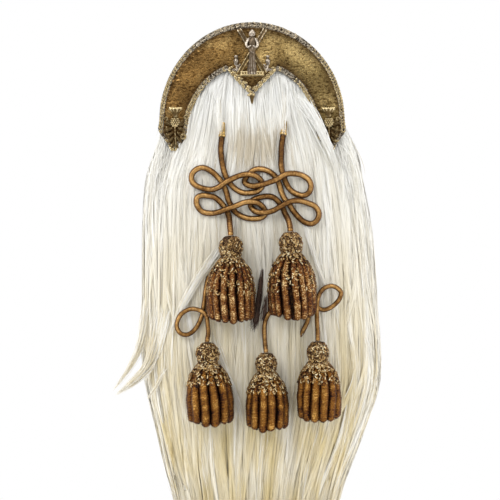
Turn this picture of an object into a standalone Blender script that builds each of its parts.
"""A full-dress horsehair sporran, hanging as it is worn.

Metres, +Z up. The front faces -Y and +X is the wearer's left. The origin lies midway between the
two belt loops, on the outer face of the leather back (y = 0), so the piece hangs from there.
"""

import math
import random

import bmesh
import bpy
from mathutils import Vector

# General
GAP = 0.0003                  # clearance between neighbouring pieces
SEED = 11

# Leather pouch
PANEL = 0.0025                # thickness of the front and back panels
GUSSET_WALL = 0.0020
POUCH_DEPTH = 0.0370          # outer face of the back to outer face of the front
POUCH_HALF_WIDTH = 0.0920
POUCH_TOP_RISE = 0.0990       # height of the arched top over the shoulder line
POUCH_SIDE = 0.1210           # shoulder line down to the bottom edge
POUCH_CORNER = 0.0420
POUCH_TAPER = 0.0040          # how far each side draws in on the way down

# Cantle (the metal half-moon)
CANTLE_FIT = 0.0009           # turned edge over the pouch, past the flats of both arcs
CANTLE_SHEET = 0.0017         # thickness of the turned edge
CANTLE_PLATE = 0.0020         # thickness of the plate
CANTLE_FRONT = 0.0495         # front face at the outer edge, in front of the back's outer face
CANTLE_DOME = 0.0025          # how much further forward the middle stands
CANTLE_TURN = 0.0200          # depth of the turned edge
CANTLE_BORDER = 0.0042        # width of the raised border
CANTLE_RELIEF = 0.0009        # height of the raised border
CANTLE_POINT = 0.0290         # points of the half-moon below the shoulder line
CANTLE_DROP = 0.0090          # small drop under the middle point

# Thistle bosses on the points
THISTLE_HEIGHT = 0.0400
THISTLE_RADIUS = 0.0078
THISTLE_FLATTEN = 0.55        # depth of the relief as a share of its width
THISTLE_OUT = 0.0790          # off the middle line

# Figure with its diagonal cross, on the middle of the cantle
MOUNT_HEIGHT = 0.0470
MOUNT_HALF_WIDTH = 0.0145
MOUNT_BEAM = 0.0034
MOUNT_RELIEF = 0.0036
MOUNT_TOP_INSET = 0.0075      # below the top of the cantle
MOUNT_HEAD = 0.0030

# Hair
HAIR_LENGTH = 0.4800          # top of the hair to the mean of its tips
HAIR_TOP_INSET = 0.0400       # top of the hair below the top of the cantle
HAIR_HALF_WIDTH = 0.1310
HAIR_FRONT = 0.0620           # front of the hair, where the cords lie
HAIR_BACK = 0.0040
HAIR_CLEAR = 0.0006           # round the pouch
HAIR_LOCKS = 26
HAIR_LOCK_DEPTH = 0.0032
HAIR_TIP_SPREAD = 0.0240

# Cords and their ferrules
CORD = 0.0060                 # diameter of the two knotted cords
CORD_LOW = 0.0048             # diameter of the three lower cords
CORD_TURN = math.radians(25)  # a tube point after each turn of this much
CORD_STEP = 0.0120            # and at least this often
CORD_END = 0.0020             # straight end of a cord over its tassel
FERRULE_LENGTH = 0.0150
FERRULE_MOUTH = 0.0036        # radius at the cord
FERRULE_TOP = 0.0020
POCKET_CLEAR = 0.0005         # round what goes into the hair

# Bullion tassels
TASSEL_HEIGHT = 0.0900
TASSEL_RADIUS = 0.0262
TASSEL_STRANDS = 13
TASSEL_FRONT = 0.80           # depth of the skirt's front half as a share of its width
TASSEL_BACK = 0.50

# Back of the pouch
MOUTH_HALF_WIDTH = 0.0600
MOUTH_HEIGHT = 0.0360
MOUTH_TOP = 0.0410            # below the belt loops' middle
MOUTH_CORNER = 0.0090
FLAP_THICKNESS = 0.0022
FLAP_OVERLAP = 0.0120         # past the mouth on each side
FLAP_SEAT = 0.0180            # flat end that carries the stud
FLAP_BULGE = 0.0055
STUD_RADIUS = 0.0055
STUD_HEIGHT = 0.0030

# Belt loops
LOOP_OUT = 0.0480             # middle of each loop off the middle line
LOOP_WIDTH = 0.0200
LOOP_SLOT = 0.0300            # room for the strap's width
LOOP_ROOM = 0.0070            # room for the strap's thickness
LOOP_LEATHER = 0.0022
LOOP_PAD = 0.0080             # stitched end above and below

# Heights that follow from the sizes above
CANTLE_TOP = 0.0505
SHOULDER = CANTLE_TOP - POUCH_TOP_RISE - CANTLE_FIT - CANTLE_SHEET
POUCH_FRONT = -POUCH_DEPTH
HAIR_TOP = CANTLE_TOP - HAIR_TOP_INSET
CORD_BED = -HAIR_FRONT

# Half of the cantle: the outer edge's angle from the middle, and the inner edge as shares of the
# cantle's half width (across) and of its rise (up from the shoulder line).
CANTLE_COLUMNS = ("turn_deg", "across", "up")
CANTLE_INNER = (
    (0, 0.000, 0.266),
    (6, 0.064, 0.330),
    (12, 0.128, 0.394),
    (18, 0.192, 0.455),
    (24, 0.258, 0.515),
    (31, 0.350, 0.475),
    (39, 0.460, 0.397),
    (47, 0.527, 0.332),
    (56, 0.578, 0.256),
    (66, 0.622, 0.173),
    (78, 0.660, 0.084),
    (90, 0.676, -0.035),
)
# The point of the half-moon: outer and inner edge as shares of the half width and of CANTLE_POINT.
CANTLE_END_COLUMNS = ("outer_across", "outer_down", "inner_across", "inner_down")
CANTLE_ENDS = (
    (1.005, 0.30, 0.702, 0.53),
    (0.940, 0.62, 0.765, 0.78),
    (0.858, 1.00, 0.836, 1.00),
)

# Sections of the hair: place down its length, half widths to each side and depth in front of
# HAIR_BACK as shares of HAIR_LENGTH, HAIR_HALF_WIDTH and HAIR_FRONT, and how square the front is.
HAIR_COLUMNS = ("down", "left", "right", "front", "square")
HAIR_SECTIONS = (
    (0.000, 0.47, 0.47, 0.66, 2.2),
    (0.040, 0.57, 0.57, 0.72, 2.2),
    (0.085, 0.63, 0.63, 0.77, 2.2),
    (0.125, 0.665, 0.675, 0.83, 2.2),
    (0.162, 0.725, 0.775, 0.90, 2.1),
    (0.205, 0.788, 0.836, 0.97, 2.3),
    (0.260, 0.826, 0.862, 1.00, 2.7),
    (0.360, 0.848, 0.932, 1.00, 2.8),
    (0.500, 0.850, 0.968, 1.00, 2.8),
    (0.620, 0.850, 0.998, 1.00, 2.8),
    (0.690, 0.822, 0.985, 1.00, 2.8),
    (0.780, 0.745, 0.880, 0.95, 2.7),
    (0.860, 0.675, 0.768, 0.88, 2.6),
    (0.940, 0.600, 0.675, 0.78, 2.5),
)

# Tassel: place down its height and radius as shares; strands part from the given row on.
TASSEL_COLUMNS = ("down", "radius", "valley")
TASSEL_SECTIONS = (
    (0.000, 0.13, 1.00),
    (0.022, 0.27, 1.00),
    (0.075, 0.42, 1.00),
    (0.135, 0.46, 1.00),
    (0.195, 0.42, 1.00),
    (0.235, 0.37, 1.00),
    (0.290, 0.54, 0.92),
    (0.380, 0.79, 0.82),
    (0.500, 0.94, 0.78),
    (0.670, 1.00, 0.78),
    (0.840, 0.95, 0.78),
    (0.940, 0.83, 0.78),
    (1.000, 0.66, 0.80),
)
TASSEL_HOLLOW = (0.955, 0.40)  # the underside: how far down, and its radius

# Cord routes in millimetres: across, in front of CORD_BED, up. Each starts where it leaves its
# ferrule or the hair and ends at the head of its tassel.
ROUTE_LEFT = (
    (-30.5, -1.5, -67), (-31.5, 0.5, -78.5), (-30.5, 2.5, -90.5), (-28.5, 3.3, -100.5),
    (-25.5, 3.3, -108.5), (-19.5, 3.3, -117), (-11.5, 3.3, -122.5), (-3, 3.3, -123.5),
    (4.5, 3.3, -122), (9.5, 3.3, -118), (10, 3.8, -113), (5.5, 7.4, -107.5), (-1.5, 9.9, -105),
    (-10, 9.9, -105.5), (-18, 9.9, -108.5), (-27, 10.9, -113), (-34, 7.8, -118), (-42, 3.8, -120),
    (-52, 3.3, -118), (-59.5, 3.3, -113.5), (-61, 3.3, -106), (-56.5, 3.3, -100),
    (-49.5, 3.3, -98), (-42, 3.3, -101), (-35.5, 3.3, -106.5), (-30, 3.3, -113.5),
    (-26, 3.3, -122.5), (-24, 3.3, -130.5), (-20.5, 3.3, -137.5), (-16, 3.3, -143.5),
    (-8, 3.3, -148), (0.5, 3.3, -149.5), (9, 3.3, -148.5), (13.5, 3.7, -144.5), (12, 4.2, -139),
    (6.5, 7.5, -134), (-1, 10.1, -132.5), (-8.5, 9.9, -133.5), (-17, 10.1, -137),
    (-26, 10.1, -140), (-34, 7.5, -143), (-42.5, 3.8, -144), (-50.5, 3.3, -142),
    (-55.5, 3.3, -135.5), (-55.5, 3.3, -128.5), (-50.5, 3.3, -126), (-44, 3.3, -126.5),
    (-37.5, 3.3, -128), (-32, 3.3, -132.5), (-27, 3.3, -139), (-23.5, 5.8, -146.5),
    (-22.5, 14, -155), (-21.5, 19.5, -164.5),
)
ROUTE_RIGHT = (
    (31.5, -1.5, -65), (30, 0.5, -76), (29.5, 2.5, -87), (29.5, 3.3, -97), (31.5, 3.3, -105),
    (34, 3.3, -112.5), (38, 3.3, -119.5), (44, 3.3, -124), (51.5, 3.3, -126), (57.5, 3.3, -123),
    (59.5, 3.3, -116.5), (57, 3.3, -110), (50, 3.8, -105.5), (42, 6.9, -104), (33.5, 9.9, -105),
    (26, 9.9, -109.5), (17.5, 9.9, -113), (9, 9.9, -115.5), (0, 7.4, -116.5), (-6.5, 4.3, -114),
    (-7, 3.3, -110), (-3.5, 3.3, -104.5), (3, 3.3, -100), (10.5, 3.3, -99.5), (17.5, 3.3, -102),
    (23, 3.3, -106.5), (27, 3.3, -113.5), (29.5, 3.3, -122), (33, 3.3, -129.5), (37.5, 3.3, -135),
    (42, 3.3, -142), (47.5, 3.3, -148.5), (53.5, 3.3, -153), (60.5, 3.3, -154.5),
    (66, 3.3, -150.5), (67.5, 3.3, -143.5), (63.5, 3.3, -137), (55.5, 5, -133.5),
    (47, 7.6, -131.5), (38, 9.9, -132.5), (28.5, 9.9, -137.5), (20, 10, -142), (11, 10, -143.5),
    (3.5, 7.4, -142), (-1, 4.2, -137.5), (-0.5, 3.3, -132), (5, 3.3, -129), (12.5, 3.3, -127),
    (20.5, 3.3, -127.5), (26, 3.3, -131.5), (30.5, 3.3, -138), (34, 6.3, -145.5),
    (37, 14, -152.5), (38.5, 19.5, -160.5),
)
ROUTE_LOW_LEFT = (
    (-37.5, -9, -193), (-41, -4, -202), (-45, 1, -212), (-47, 3.2, -223), (-48.5, 3.2, -235),
    (-51, 3.2, -248.5), (-57, 3.2, -260.5), (-65, 3.2, -266.5), (-73, 3.2, -264.5),
    (-76, 3.2, -256.5), (-72, 3.2, -246.5), (-63, 4, -241), (-54, 8, -241.5),
    (-46.5, 8.5, -246.5), (-44.5, 8, -257.5), (-44, 11, -265.5), (-45, 15.5, -271.5),
)
ROUTE_LOW_MIDDLE = (
    (45, -9, -277), (48, -4, -270), (52, 1, -262), (56, 3.2, -253), (57, 3.2, -243),
    (52, 3.2, -234), (42, 3.2, -230), (32, 3.2, -232), (23, 3.2, -238.5), (16.5, 3.2, -246),
    (13, 3.6, -255), (12.5, 5.5, -264), (13, 10, -274), (14, 15.5, -282),
)
ROUTE_LOW_RIGHT = (
    (55, -9, -186), (58, -4, -196), (61, 1, -206), (62.5, 3.2, -216), (63.5, 3.2, -228),
    (65.5, 3.2, -237.5), (72, 3.2, -241.5), (80.5, 3.2, -238.5), (88, 3.2, -231),
    (89.5, 3.2, -223), (81.5, 3.2, -217.5), (72.5, 4, -220), (67, 8, -228),
    (65.5, 8.5, -239), (65.5, 9, -252.5), (66, 12, -263.5), (66, 15.5, -270.5),
)
POCKET_POINTS = 5             # route points of a lower cord that lie in its pocket

# Tassels: route that it hangs on, lean across from head to skirt as a share of its height, and
# width and height as shares of TASSEL_RADIUS and TASSEL_HEIGHT.
TASSEL_TABLE_COLUMNS = ("name", "route", "lean", "wide", "tall")
TASSELS = (
    ("tassel_upper_left", ROUTE_LEFT, 0.00, 1.00, 1.00),
    ("tassel_upper_right", ROUTE_RIGHT, 0.03, 1.00, 1.00),
    ("tassel_lower_left", ROUTE_LOW_LEFT, 0.05, 0.98, 0.96),
    ("tassel_lower_middle", ROUTE_LOW_MIDDLE, 0.02, 0.89, 0.90),
    ("tassel_lower_right", ROUTE_LOW_RIGHT, 0.02, 0.92, 0.92),
)

# The stray lock on the left: across, in front of the pouch's back and down from the top of the
# hair, as shares of HAIR_HALF_WIDTH, HAIR_FRONT and HAIR_LENGTH.
STRAY_COLUMNS = ("across", "out", "down")
STRAY_ROUTE = (
    (-0.565, 0.855, 0.514), (-0.687, 0.903, 0.547), (-0.817, 0.855, 0.595),
    (-0.931, 0.790, 0.641), (-1.023, 0.758, 0.680), (-1.076, 0.742, 0.714),
)
STRAY_RADIUS = (0.0042, 0.0012)

# The dark wisp between the upper tassels, as the routes above.
WISP_ROUTE = (
    (10.5, 1.8, -200), (9, 2.4, -214), (7.5, 2.6, -228), (4.5, 2.6, -244), (0.5, 1.8, -264),
)
WISP_RADIUS = (0.0012, 0.0022, 0.0024, 0.0022, 0.0011)


def clear_scene():
    """Removes every object that the file opened with."""
    for obj in list(bpy.data.objects):
        bpy.data.objects.remove(obj, do_unlink=True)


def collection(name, helper=False):
    """Makes a collection in the scene; a helper one isn't rendered."""
    made = bpy.data.collections.new(name)
    made.hide_render = helper
    bpy.context.scene.collection.children.link(made)
    return made


def material(name, colour, roughness, metallic):
    """Makes a plain Principled material."""
    made = bpy.data.materials.new(name)
    made.use_nodes = True
    shader = made.node_tree.nodes["Principled BSDF"]
    shader.inputs["Base Color"].default_value = (*colour, 1.0)
    shader.inputs["Roughness"].default_value = roughness
    shader.inputs["Metallic"].default_value = metallic
    made.diffuse_color = (*colour, 1.0)
    return made


def piece(name, mesh, finish, group):
    """Links a mesh as a named piece of the sporran."""
    made = bpy.data.objects.new(name, mesh)
    mesh.name = name
    mesh.materials.clear()
    mesh.materials.append(finish)
    group.objects.link(made)
    return made


def cutter(name, mesh, group):
    """Links a mesh that only shapes other pieces."""
    made = bpy.data.objects.new(name, mesh)
    made.hide_render = True
    made.display_type = "WIRE"
    group.objects.link(made)
    return made


def combine(target, other, operation):
    """Adds an exact Boolean of the other object to the target."""
    modifier = target.modifiers.new(other.name, "BOOLEAN")
    modifier.operation = operation
    modifier.solver = "EXACT"
    modifier.object = other


def mesh_of(bm, name):
    """Turns a bmesh into a mesh with its faces turned outwards."""
    bmesh.ops.recalc_face_normals(bm, faces=bm.faces)
    mesh = bpy.data.meshes.new(name)
    bm.to_mesh(mesh)
    bm.free()
    return mesh


def mesh_of_curve(curve, name):
    """Turns curve data into a closed mesh."""
    holder = bpy.data.objects.new(name, curve)
    bpy.context.scene.collection.objects.link(holder)
    bpy.context.view_layer.update()
    graph = bpy.context.evaluated_depsgraph_get()
    mesh = bpy.data.meshes.new_from_object(holder.evaluated_get(graph))
    bpy.data.objects.remove(holder, do_unlink=True)
    bpy.data.curves.remove(curve)
    bm = bmesh.new()
    bm.from_mesh(mesh)
    bmesh.ops.remove_doubles(bm, verts=bm.verts, dist=0.00001)
    bpy.data.meshes.remove(mesh)
    return mesh_of(bm, name)


def plate(name, outlines, near, far, axis="y"):
    """Fills closed outlines (the second one is a hole) and makes them thick from near to far.

    With axis "y" the outline lies in X and Z; with axis "x" it lies in Y and Z.
    """
    curve = bpy.data.curves.new(name, "CURVE")
    curve.dimensions = "2D"
    curve.fill_mode = "BOTH"
    curve.extrude = abs(far - near) / 2
    for outline in outlines:
        spline = curve.splines.new("POLY")
        spline.points.add(len(outline) - 1)
        for point, (across, up) in zip(spline.points, outline):
            point.co = (across, up, 0, 1)
        spline.use_cyclic_u = True
    mesh = mesh_of_curve(curve, name)
    middle = (near + far) / 2
    for vertex in mesh.vertices:
        across, up, through = vertex.co
        if axis == "y":
            vertex.co = (across, middle + through, up)
        else:
            vertex.co = (middle + through, across, up)
    bm = bmesh.new()
    bm.from_mesh(mesh)
    bpy.data.meshes.remove(mesh)
    return mesh_of(bm, name)


def arc(centre, radius_across, radius_up, start, end, steps):
    """Points of an elliptic arc, angles in degrees."""
    points = []
    for step in range(steps + 1):
        angle = math.radians(start + (end - start) * step / steps)
        points.append((
            centre[0] + radius_across * math.cos(angle),
            centre[1] + radius_up * math.sin(angle),
        ))
    return points


def pouch_outline(grow=0.0, top_steps=24, corner_steps=5):
    """The pouch from the front, grown or shrunk by a margin: arched top, straight sides."""
    half = POUCH_HALF_WIDTH + grow
    low = half - POUCH_TAPER
    corner = POUCH_CORNER + grow
    bottom = SHOULDER - POUCH_SIDE - grow
    points = arc((0, SHOULDER), half, POUCH_TOP_RISE + grow, 0, 180, top_steps)
    points += arc((-(low - corner), bottom + corner), corner, corner, 180, 270, corner_steps)
    points += arc((low - corner, bottom + corner), corner, corner, 270, 360, corner_steps)
    return points


def rounded_box(half, top, height, corner, steps=3):
    """A rectangle with round corners, from its top edge down."""
    low = top - height
    inner = half - corner
    points = arc((inner, top - corner), corner, corner, 0, 90, steps)
    points += arc((-inner, top - corner), corner, corner, 90, 180, steps)
    points += arc((-inner, low + corner), corner, corner, 180, 270, steps)
    points += arc((inner, low + corner), corner, corner, 270, 360, steps)
    return points


def rings_to_mesh(name, rings, top=None, bottom=None):
    """Joins rings of the same number of points into one closed skin.

    top and bottom are points that close the ends; without one, that end is one flat face.
    """
    bm = bmesh.new()
    rows = [[bm.verts.new(point) for point in ring] for ring in rings]
    count = len(rows[0])
    for upper, lower in zip(rows, rows[1:]):
        for i in range(count):
            j = (i + 1) % count
            bm.faces.new((upper[i], upper[j], lower[j], lower[i]))
    for row, end in ((rows[0], top), (rows[-1], bottom)):
        if end is None:
            bm.faces.new(row)
            continue
        tip = bm.verts.new(end)
        for i in range(count):
            bm.faces.new((row[i], row[(i + 1) % count], tip))
    bmesh.ops.triangulate(bm, faces=bm.faces)
    return mesh_of(bm, name)


def turned(name, profile, steps, axis="Z"):
    """Turns a profile of (radius, place) points round an axis; the ends close on the axis."""
    rings = []
    for radius, place in profile[1:-1]:
        ring = []
        for step in range(steps):
            angle = 2 * math.pi * step / steps
            a, b = radius * math.cos(angle), radius * math.sin(angle)
            ring.append((a, b, place) if axis == "Z" else (a, place, b))
        rings.append(ring)
    ends = []
    for _, place in (profile[0], profile[-1]):
        ends.append((0, 0, place) if axis == "Z" else (0, place, 0))
    return rings_to_mesh(name, rings, ends[0], ends[1])


def moved(mesh, offset, scale=(1, 1, 1)):
    """Scales a mesh about the origin, then moves it."""
    for vertex in mesh.vertices:
        vertex.co = [vertex.co[i] * scale[i] + offset[i] for i in range(3)]
    return mesh


def flat_backed(mesh, face_y, name):
    """Cuts a relief flat at face_y and keeps what stands in front of it."""
    bm = bmesh.new()
    bm.from_mesh(mesh)
    bpy.data.meshes.remove(mesh)
    everything = bm.verts[:] + bm.edges[:] + bm.faces[:]
    bmesh.ops.bisect_plane(
        bm, geom=everything, plane_co=(0, face_y, 0), plane_no=(0, 1, 0), clear_outer=True
    )
    rim = [edge for edge in bm.edges if edge.is_boundary]
    bmesh.ops.holes_fill(bm, edges=rim, sides=0)
    bmesh.ops.triangulate(bm, faces=bm.faces)
    return mesh_of(bm, name)


def route_points(route):
    """A route's points in metres."""
    return [Vector((x / 1000, CORD_BED - lift / 1000, z / 1000)) for x, lift, z in route]


def smooth(points, steps=12):
    """Points of the smooth curve through the given ones."""
    ends = [2 * points[0] - points[1], *points, 2 * points[-1] - points[-2]]
    curve = []
    for a, b, c, d in zip(ends, ends[1:], ends[2:], ends[3:]):
        for step in range(steps):
            t = step / steps
            curve.append(0.5 * (
                2 * b + (c - a) * t + (2 * a - 5 * b + 4 * c - d) * t ** 2
                + (3 * b - a - 3 * c + d) * t ** 3
            ))
    curve.append(points[-1].copy())
    return curve


def thinned(curve, turn, step):
    """Keeps a point of a curve after each turn of the given angle, and at least every step."""
    kept = [curve[0]]
    turned_by = 0.0
    run = 0.0
    for before, here, after in zip(curve, curve[1:], curve[2:]):
        turned_by += (here - before).angle(after - here, 0.0)
        run += (here - before).length
        if turned_by >= turn or run >= step:
            kept.append(here)
            turned_by = 0.0
            run = 0.0
    kept.append(curve[-1])
    return kept


def tube(name, points, radius, radii=None, resolution=2):
    """Curve data of a round tube with closed ends, along the given points."""
    curve = bpy.data.curves.new(name, "CURVE")
    curve.dimensions = "3D"
    curve.bevel_depth = radius
    curve.bevel_resolution = resolution
    curve.use_fill_caps = True
    spline = curve.splines.new("POLY")
    spline.points.add(len(points) - 1)
    for i, (point, place) in enumerate(zip(spline.points, points)):
        point.co = (*place, 1)
        point.radius = 1.0 if radii is None else radii[i] / radius
    return curve


def make_pouch(group, leather):
    """Front panel, gusset and back panel of the pouch, with the mouth in the back."""
    piece("front_panel", plate(
        "front_panel", [pouch_outline()], POUCH_FRONT, POUCH_FRONT + PANEL
    ), leather, group)
    piece("gusset", plate(
        "gusset", [pouch_outline(), pouch_outline(-GUSSET_WALL)],
        POUCH_FRONT + PANEL + GAP, -PANEL - GAP,
    ), leather, group)
    mouth = rounded_box(MOUTH_HALF_WIDTH, -MOUTH_TOP, MOUTH_HEIGHT, MOUTH_CORNER)
    piece("back_panel", plate(
        "back_panel", [pouch_outline(), mouth], -PANEL, 0.0
    ), leather, group)


def flap_profile():
    """The flap from the side: flat at the top and at the stud, bowed out over the mouth."""
    top = -MOUTH_TOP + FLAP_OVERLAP
    seat = -MOUTH_TOP - MOUTH_HEIGHT - FLAP_OVERLAP / 2
    inner = [(GAP, top)]
    for step in range(9):
        share = step / 8
        up = -MOUTH_TOP + FLAP_OVERLAP / 3 + (seat + MOUTH_TOP - FLAP_OVERLAP / 3) * share
        inner.append((GAP + FLAP_BULGE * math.sin(math.pi * share) ** 2, up))
    inner.append((GAP, seat - FLAP_SEAT))
    outer = [(out + FLAP_THICKNESS, up) for out, up in inner]
    return inner + outer[::-1]


def make_back(group, helpers, leather, brass):
    """The flap over the mouth, its stud and the two belt loops."""
    half = MOUTH_HALF_WIDTH + FLAP_OVERLAP
    top = -MOUTH_TOP + FLAP_OVERLAP
    seat = -MOUTH_TOP - MOUTH_HEIGHT - FLAP_OVERLAP / 2
    height = top - seat + FLAP_SEAT
    flap = piece("back_flap", plate(
        "back_flap", [flap_profile()], -half - 0.001, half + 0.001, axis="x"
    ), leather, group)
    corner = 0.45 * half
    outline = [(half, top + 0.001), (-half, top + 0.001)]
    outline += arc((-(half - corner), top - height + corner), corner, corner, 180, 270, 6)
    outline += arc((half - corner, top - height + corner), corner, corner, 270, 360, 6)
    trim = cutter("flap_outline", plate(
        "flap_outline", [outline], -0.005, FLAP_BULGE + FLAP_THICKNESS + 0.01
    ), helpers)
    combine(flap, trim, "INTERSECT")
    face = GAP + FLAP_THICKNESS + GAP
    stud = turned("flap_stud", (
        (0, 0), (0.55 * STUD_RADIUS, 0), (0.60 * STUD_RADIUS, 0.30 * STUD_HEIGHT),
        (STUD_RADIUS, 0.36 * STUD_HEIGHT), (0.96 * STUD_RADIUS, 0.62 * STUD_HEIGHT),
        (0.62 * STUD_RADIUS, 0.92 * STUD_HEIGHT), (0, STUD_HEIGHT),
    ), 16, axis="Y")
    piece("flap_stud", moved(stud, (0, face, seat - FLAP_SEAT / 2)), brass, group)
    for side, out in (("left", -LOOP_OUT), ("right", LOOP_OUT)):
        make_loop(f"belt_loop_{side}", out, group, leather)


def make_loop(name, out, group, leather):
    """One leather belt loop: two stitched pads and a raised bridge with a flat back."""
    slot = LOOP_SLOT / 2
    lean = LOOP_ROOM * 0.5
    inner = [
        (GAP, slot + LOOP_PAD), (GAP, slot), (GAP + LOOP_ROOM, slot - lean),
        (GAP + LOOP_ROOM, -slot + lean), (GAP, -slot), (GAP, -slot - LOOP_PAD),
    ]
    far = GAP + LOOP_ROOM + LOOP_LEATHER
    pad = GAP + LOOP_LEATHER
    outer = [
        (pad, -slot - LOOP_PAD), (pad, -slot - 0.4 * LOOP_LEATHER),
        (far, -slot + lean - 0.4 * LOOP_LEATHER), (far, slot - lean + 0.4 * LOOP_LEATHER),
        (pad, slot + 0.4 * LOOP_LEATHER), (pad, slot + LOOP_PAD),
    ]
    piece(name, plate(
        name, [inner + outer], out - LOOP_WIDTH / 2, out + LOOP_WIDTH / 2, axis="x"
    ), leather, group)


def cantle_stations():
    """Outer and inner edge points across the cantle, from the left point to the right one."""
    half = POUCH_HALF_WIDTH + CANTLE_FIT + CANTLE_SHEET
    rise = CANTLE_TOP - SHOULDER
    right = []
    for turn, across, up in CANTLE_INNER:
        angle = math.radians(turn)
        outer = Vector((half * math.sin(angle), SHOULDER + rise * math.cos(angle)))
        right.append((outer, Vector((half * across, SHOULDER + rise * up)), math.cos(angle)))
    for outer_across, outer_down, inner_across, inner_down in CANTLE_ENDS:
        outer = Vector((half * outer_across, SHOULDER - CANTLE_POINT * outer_down))
        inner = Vector((half * inner_across, SHOULDER - CANTLE_POINT * inner_down))
        right.append((outer, inner, -1.0))
    left = [
        (Vector((-outer.x, outer.y)), Vector((-inner.x, inner.y)), high)
        for outer, inner, high in right[:0:-1]
    ]
    return left + right


def cantle_face(across):
    """How far forward the cantle's plain field stands at a place across it."""
    share = across / (POUCH_HALF_WIDTH + CANTLE_FIT + CANTLE_SHEET)
    return -(CANTLE_FRONT + CANTLE_DOME * (1 - min(1.0, share * share)))


def cantle_section(outer, inner, high):
    """One section of the cantle: turned edge, raised borders and domed field, as a loop."""
    width = (inner - outer).length
    along = (inner - outer) / width
    shrink = min(1.0, width / (3.2 * CANTLE_BORDER))
    border = CANTLE_BORDER * shrink
    turn = CANTLE_PLATE + (CANTLE_TURN - CANTLE_PLATE) * min(1.0, max(0.0, high * 5 - 0.4))
    sheet = CANTLE_SHEET * shrink
    relief = CANTLE_RELIEF
    profile = (
        (0.0, turn), (0.0, 1.1 * relief), (0.30 * border, -0.4 * relief),
        (0.55 * border, -relief), (border, 0.0),
        (0.35 * width, -0.5 * relief), (0.65 * width, -0.5 * relief),
        (width - border, 0.0), (width - 0.5 * border, -relief), (width, 0.8 * relief),
        (width, CANTLE_PLATE), (width - border, CANTLE_PLATE),
        (border, CANTLE_PLATE), (sheet, CANTLE_PLATE + 0.02 * turn), (sheet, turn + 0.00005),
    )
    points = []
    for place, back in profile:
        spot = outer + along * place
        points.append((spot.x, cantle_face(spot.x) + back, spot.y))
    return points


def make_cantle(group, helpers, brass):
    """The half-moon plate with its turned edge, borders and the drop under the middle point."""
    rings = [cantle_section(*station) for station in cantle_stations()]
    cantle = piece("cantle", rings_to_mesh("cantle", rings), brass, group)
    low = SHOULDER + (CANTLE_TOP - SHOULDER) * CANTLE_INNER[0][2]
    drop = turned("cantle_drop", (
        (0, 0.35), (0.16, 0.25), (0.20, 0.0), (0.13, -0.25), (0.22, -0.55), (0.17, -0.85),
        (0, -1.0),
    ), 8)
    moved(
        drop, (0, cantle_face(0) + 0.55 * CANTLE_PLATE, low),
        (CANTLE_DROP, 0.55 * CANTLE_DROP, CANTLE_DROP),
    )
    combine(cantle, cutter("cantle_drop", drop, helpers), "UNION")


def make_thistles(group, brass):
    """A thistle boss in half relief on each point of the cantle."""
    profile = (
        (0, 0.50), (0.62, 0.49), (0.80, 0.42), (0.52, 0.34), (0.50, 0.30), (0.92, 0.20),
        (1.00, 0.10), (0.84, -0.03), (0.45, -0.12), (0.60, -0.20), (0.34, -0.32),
        (0.44, -0.40), (0.30, -0.48), (0, -0.50),
    )
    middle = SHOULDER - CANTLE_POINT + THISTLE_HEIGHT * 0.56
    for side, sign in (("left", -1), ("right", 1)):
        name = f"thistle_boss_{side}"
        face = min(cantle_face(THISTLE_OUT - THISTLE_RADIUS), cantle_face(THISTLE_OUT))
        face -= 0.5 * CANTLE_RELIEF + GAP
        shape = turned(name, profile, 14)
        moved(
            shape, (sign * THISTLE_OUT, face - 0.0008, middle),
            (THISTLE_RADIUS, THISTLE_RADIUS * THISTLE_FLATTEN, THISTLE_HEIGHT),
        )
        piece(name, flat_backed(shape, face, name), brass, group)


def box_between(name, start, end, width, near, far):
    """A straight bar from start to end in X and Z, from near to far in Y."""
    along = (Vector(end) - Vector(start)).normalized()
    side = Vector((-along.y, along.x)) * width / 2
    ring = [
        Vector(start) + side, Vector(start) - side, Vector(end) - side, Vector(end) + side
    ]
    return rings_to_mesh(name, [
        [(p.x, near, p.y) for p in ring], [(p.x, far, p.y) for p in ring]
    ])


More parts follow.
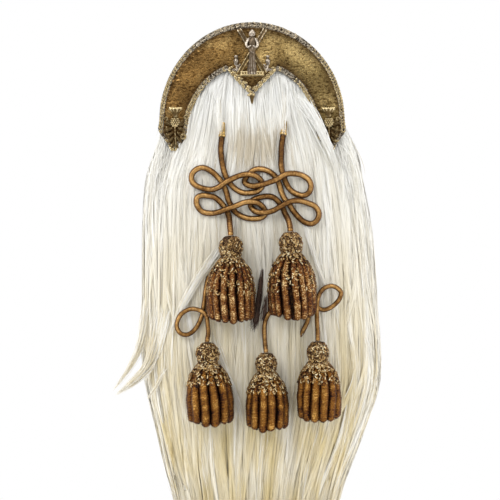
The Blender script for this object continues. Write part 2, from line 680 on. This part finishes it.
def make_figure(group, helpers, pewter):
    """The robed figure before a diagonal cross, on its scroll, as one casting."""
    top = CANTLE_TOP - MOUNT_TOP_INSET
    low = top - MOUNT_HEIGHT
    back = cantle_face(0) - CANTLE_RELIEF - GAP
    half = MOUNT_HALF_WIDTH
    beam_face = back - 0.55 * MOUNT_RELIEF
    base = box_between(
        "figure_mount", (-0.86 * half, low + 0.0022), (0.86 * half, low + 0.0022),
        0.0044, back, back - 0.75 * MOUNT_RELIEF,
    )
    mount = piece("figure_mount", base, pewter, group)
    arms = (
        ("beam_one", (-half, top), (half, low + 0.0020)),
        ("beam_two", (half, top), (-half, low + 0.0020)),
    )
    for name, start, end in arms:
        face = beam_face if name == "beam_one" else beam_face - 0.0003
        bar = box_between(name, start, end, MOUNT_BEAM, back, face)
        combine(mount, cutter(name, bar, helpers), "UNION")
    robe_low = low + 0.0010
    robe_top = top - 2.4 * MOUNT_HEAD
    tall = robe_top - robe_low
    robe = turned("robe", (
        (0, 1.02), (0.34, 1.0), (0.86, 0.93), (0.98, 0.84), (0.74, 0.66), (0.66, 0.55),
        (0.80, 0.30), (0.96, 0.0), (0, -0.01),
    ), 12)
    moved(robe, (0, back + 0.0002, robe_low), (0.46 * half, MOUNT_RELIEF * 1.12, tall))
    head = turned("head", (
        (0, 1.05), (0.60, 0.86), (0.96, 0.30), (0.90, -0.30), (0.55, -0.90), (0.42, -1.5),
        (0, -1.7),
    ), 10)
    moved(
        head, (0, back - 0.0008, top - 1.25 * MOUNT_HEAD),
        (MOUNT_HEAD * 0.92, MOUNT_HEAD, MOUNT_HEAD * 1.15),
    )
    for name, shape in (("robe", robe), ("head", head)):
        solid = cutter(name, flat_backed(shape, back, name), helpers)
        combine(mount, solid, "UNION")
    thistle = (
        (0, 1.0), (0.75, 0.95), (0.45, 0.55), (1.0, 0.15), (0.85, -0.35), (0.35, -0.8),
        (0.45, -1.9), (0, -2.0),
    )
    for name, sign in (("sprig_left", -1), ("sprig_right", 1)):
        shape = turned(name, thistle, 10)
        moved(
            shape, (sign * 1.02 * half, back - 0.0002, low + 0.0150),
            (0.0034, MOUNT_RELIEF * 0.75, 0.0052),
        )
        solid = cutter(name, flat_backed(shape, back, name), helpers)
        combine(mount, solid, "UNION")
        stem = box_between(
            f"{name}_stem", (sign * 1.02 * half, low + 0.0080), (sign * 0.6 * half, low + 0.0024),
            0.0026, back, back - 0.45 * MOUNT_RELIEF,
        )
        combine(mount, cutter(f"{name}_stem", stem, helpers), "UNION")


def hair_front(half_left, half_right, depth, square, count):
    """Evenly spaced points of the hair's rounded front, each with its outward direction."""
    fine = []
    for i in range(241):
        angle = math.pi * i / 240
        across, forward = -math.cos(angle), math.sin(angle)
        half = half_left if across < 0 else half_right
        fine.append(Vector((
            math.copysign(abs(across) ** (2.0 / square), across) * half,
            -HAIR_BACK - abs(forward) ** (2.0 / square) * depth,
        )))
    runs = [0.0]
    for a, b in zip(fine, fine[1:]):
        runs.append(runs[-1] + (b - a).length)
    points = []
    place = 0
    for i in range(count):
        wanted = runs[-1] * i / (count - 1)
        while place < len(runs) - 2 and runs[place + 1] < wanted:
            place += 1
        share = (wanted - runs[place]) / (runs[place + 1] - runs[place])
        along = (fine[place + 1] - fine[place]).normalized()
        points.append((fine[place].lerp(fine[place + 1], share), Vector((along.y, -along.x))))
    return points


def hair_ring(section, locks):
    """One section of the hair: a fluted front between two straight sides and a flat back."""
    down, left, right, front, square = section
    height = HAIR_TOP - HAIR_LENGTH * down
    half_left = HAIR_HALF_WIDTH * left
    half_right = HAIR_HALF_WIDTH * right
    depth = HAIR_FRONT * front - HAIR_BACK
    ring = []
    front_points = hair_front(half_left, half_right, depth, square, 2 * HAIR_LOCKS + 1)
    for inset, (place, outward) in zip(locks, front_points):
        spot = place - outward * inset * min(1.0, 0.35 + 1.3 * down)
        ring.append((spot.x, min(spot.y, -HAIR_BACK), height))
    back = 7
    for i in range(1, back):
        share = i / back
        ring.append((half_right - (half_right + half_left) * share, -HAIR_BACK, height))
    return ring


def make_hair(group, helpers, horsehair):
    """The hair as one solid of fluted locks with free tips, cut round the pouch."""
    rng = random.Random(SEED)
    count = 2 * HAIR_LOCKS + 1
    locks = [
        0.0 if i % 2 == 0 else HAIR_LOCK_DEPTH * (0.6 + 0.8 * rng.random())
        for i in range(count)
    ]
    locks = [depth + 0.0006 * rng.random() for depth in locks]
    rings = [hair_ring(section, locks) for section in HAIR_SECTIONS]
    tips = []
    last = HAIR_SECTIONS[-1]
    ends = hair_ring((1.0, last[1] * 0.93, last[2] * 0.93, last[3] * 0.93, last[4]), locks)
    for i, (x, y, z) in enumerate(ends):
        sign = -1 if i % 2 == 0 else 0.6
        tips.append((x, y, z + sign * HAIR_TIP_SPREAD * (0.5 + 0.5 * rng.random())))
    middle = (0, -0.4 * HAIR_FRONT, HAIR_TOP - HAIR_LENGTH * 0.95)
    top = (0, -0.5 * HAIR_FRONT, HAIR_TOP + 0.001)
    hair = piece("hair", rings_to_mesh("hair", rings + [tips], top, middle), horsehair, group)
    room = cutter("pouch_room", plate(
        "pouch_room", [pouch_outline(HAIR_CLEAR)], POUCH_FRONT - HAIR_CLEAR, 0.02
    ), helpers)
    combine(hair, room, "DIFFERENCE")
    return hair


def ferrule_frame(route):
    """Where a cord starts and the direction from there back up into its ferrule."""
    points = route_points(route)
    start, after = points[0], points[1]
    return start, (start - after).normalized()


def ferrule_mesh(name, route, grow):
    """A small cone in line with the start of its cord, grown by a margin."""
    start, upward = ferrule_frame(route)
    mesh = turned(name, (
        (0, -grow), (FERRULE_MOUTH + grow, -grow),
        (FERRULE_MOUTH + grow, 0.18 * FERRULE_LENGTH),
        (0.88 * FERRULE_MOUTH + grow, 0.24 * FERRULE_LENGTH),
        (FERRULE_TOP + grow, FERRULE_LENGTH), (0.4 * FERRULE_TOP, FERRULE_LENGTH + grow + 0.0006),
        (0, FERRULE_LENGTH + grow + 0.0008),
    ), 12)
    turn = Vector((0, 0, 1)).rotation_difference(upward)
    for vertex in mesh.vertices:
        vertex.co = turn @ vertex.co + start + upward * GAP
    return mesh


def make_ferrules(group, helpers, hair, brass):
    """The two brass ferrules, half sunk in the hair."""
    for side, route in (("left", ROUTE_LEFT), ("right", ROUTE_RIGHT)):
        name = f"ferrule_{side}"
        piece(name, ferrule_mesh(name, route, 0.0), brass, group)
        room = cutter(f"{name}_room", ferrule_mesh(name, route, POCKET_CLEAR), helpers)
        combine(hair, room, "DIFFERENCE")


def make_cords(group, helpers, hair, gold):
    """The five cords; the lower three start in pockets in the hair."""
    cords = (
        ("cord_left", ROUTE_LEFT, CORD), ("cord_right", ROUTE_RIGHT, CORD),
        ("cord_lower_left", ROUTE_LOW_LEFT, CORD_LOW),
        ("cord_lower_middle", ROUTE_LOW_MIDDLE, CORD_LOW),
        ("cord_lower_right", ROUTE_LOW_RIGHT, CORD_LOW),
    )
    for name, route, diameter in cords:
        points = thinned(smooth(route_points(route)), CORD_TURN, CORD_STEP)
        points.append(points[-1] - Vector((0, 0, CORD_END)))
        curve = tube(name, points, diameter / 2)
        made = bpy.data.objects.new(name, curve)
        curve.materials.append(gold)
        group.objects.link(made)
        if diameter == CORD:
            continue
        inside = route_points(route)[:POCKET_POINTS]
        inside[0] = inside[0] + (inside[0] - inside[1]).normalized() * 0.001
        room = tube(f"{name}_room", smooth(inside, 3), diameter / 2 + POCKET_CLEAR)
        room = mesh_of_curve(room, f"{name}_room")
        combine(hair, cutter(f"{name}_room", room, helpers), "DIFFERENCE")


def tassel_mesh(name, lean, wide, tall):
    """A tassel hanging from the origin: covered head, neck and a skirt of fused strands."""
    count = 2 * TASSEL_STRANDS
    height = TASSEL_HEIGHT * tall
    rings = []
    rows = list(TASSEL_SECTIONS) + [(TASSEL_HOLLOW[0], TASSEL_HOLLOW[1], 1.0)]
    for down, radius, valley in rows:
        ring = []
        skirt = min(1.0, max(0.0, (down - 0.2) * 5))
        for i in range(count):
            angle = 2 * math.pi * i / count
            reach = TASSEL_RADIUS * wide * radius * (1.0 if i % 2 == 0 else valley)
            squash = TASSEL_FRONT if math.sin(angle) < 0 else TASSEL_BACK
            squash = 1.0 + (squash - 1.0) * skirt
            ring.append((
                reach * math.cos(angle) + lean * height * max(0.0, down - 0.1),
                reach * math.sin(angle) * squash,
                -height * down,
            ))
        rings.append(ring)
    end = TASSEL_HOLLOW[0] - 0.02
    bottom = (lean * height * (end - 0.1), 0, -height * end)
    return rings_to_mesh(name, rings, (0, 0, 0), bottom)


def make_tassels(group, gold):
    """The five bullion tassels, each hanging just under the end of its cord."""
    for name, route, lean, wide, tall in TASSELS:
        end = route_points(route)[-1]
        mesh = tassel_mesh(name, lean, wide, tall)
        made = piece(name, mesh, gold, group)
        made.location = end - Vector((0, 0, CORD_END + GAP))


def make_wisps(group, helpers, hair, dark):
    """The stray lock on the left, fused into the hair, and the dark wisp lying on it."""
    points = smooth([
        Vector((HAIR_HALF_WIDTH * across, -HAIR_FRONT * out, HAIR_TOP - HAIR_LENGTH * down))
        for across, out, down in STRAY_ROUTE
    ], 3)
    first, last = STRAY_RADIUS
    radii = [first + (last - first) * i / (len(points) - 1) for i in range(len(points))]
    stray = mesh_of_curve(tube("stray_lock", points, first, radii, resolution=1), "stray_lock")
    combine(hair, cutter("stray_lock", stray, helpers), "UNION")
    wisp = tube("dark_wisp", route_points(WISP_ROUTE), WISP_RADIUS[2], WISP_RADIUS)
    piece("dark_wisp", mesh_of_curve(wisp, "dark_wisp"), dark, group)


def main():
    """Builds the sporran."""
    clear_scene()
    group = collection("sporran")
    helpers = collection("sporran_helpers", helper=True)
    leather = material("black_leather", (0.022, 0.018, 0.016), 0.48, 0.0)
    brass = material("antique_brass", (0.42, 0.29, 0.12), 0.42, 1.0)
    pewter = material("worn_pewter", (0.48, 0.42, 0.33), 0.38, 1.0)
    bright = material("bright_brass", (0.78, 0.55, 0.24), 0.28, 1.0)
    horsehair = material("white_horsehair", (0.88, 0.85, 0.78), 0.55, 0.0)
    dark = material("dark_horsehair", (0.06, 0.035, 0.025), 0.5, 0.0)
    gold_cord = material("gold_cord", (0.36, 0.19, 0.065), 0.5, 0.4)
    bullion = material("gold_bullion", (0.47, 0.26, 0.09), 0.42, 0.55)
    make_pouch(group, leather)
    make_back(group, helpers, leather, bright)
    make_cantle(group, helpers, brass)
    make_thistles(group, brass)
    make_figure(group, helpers, pewter)
    hair = make_hair(group, helpers, horsehair)
    make_ferrules(group, helpers, hair, bright)
    make_cords(group, helpers, hair, gold_cord)
    make_tassels(group, bullion)
    make_wisps(group, helpers, hair, dark)


main()
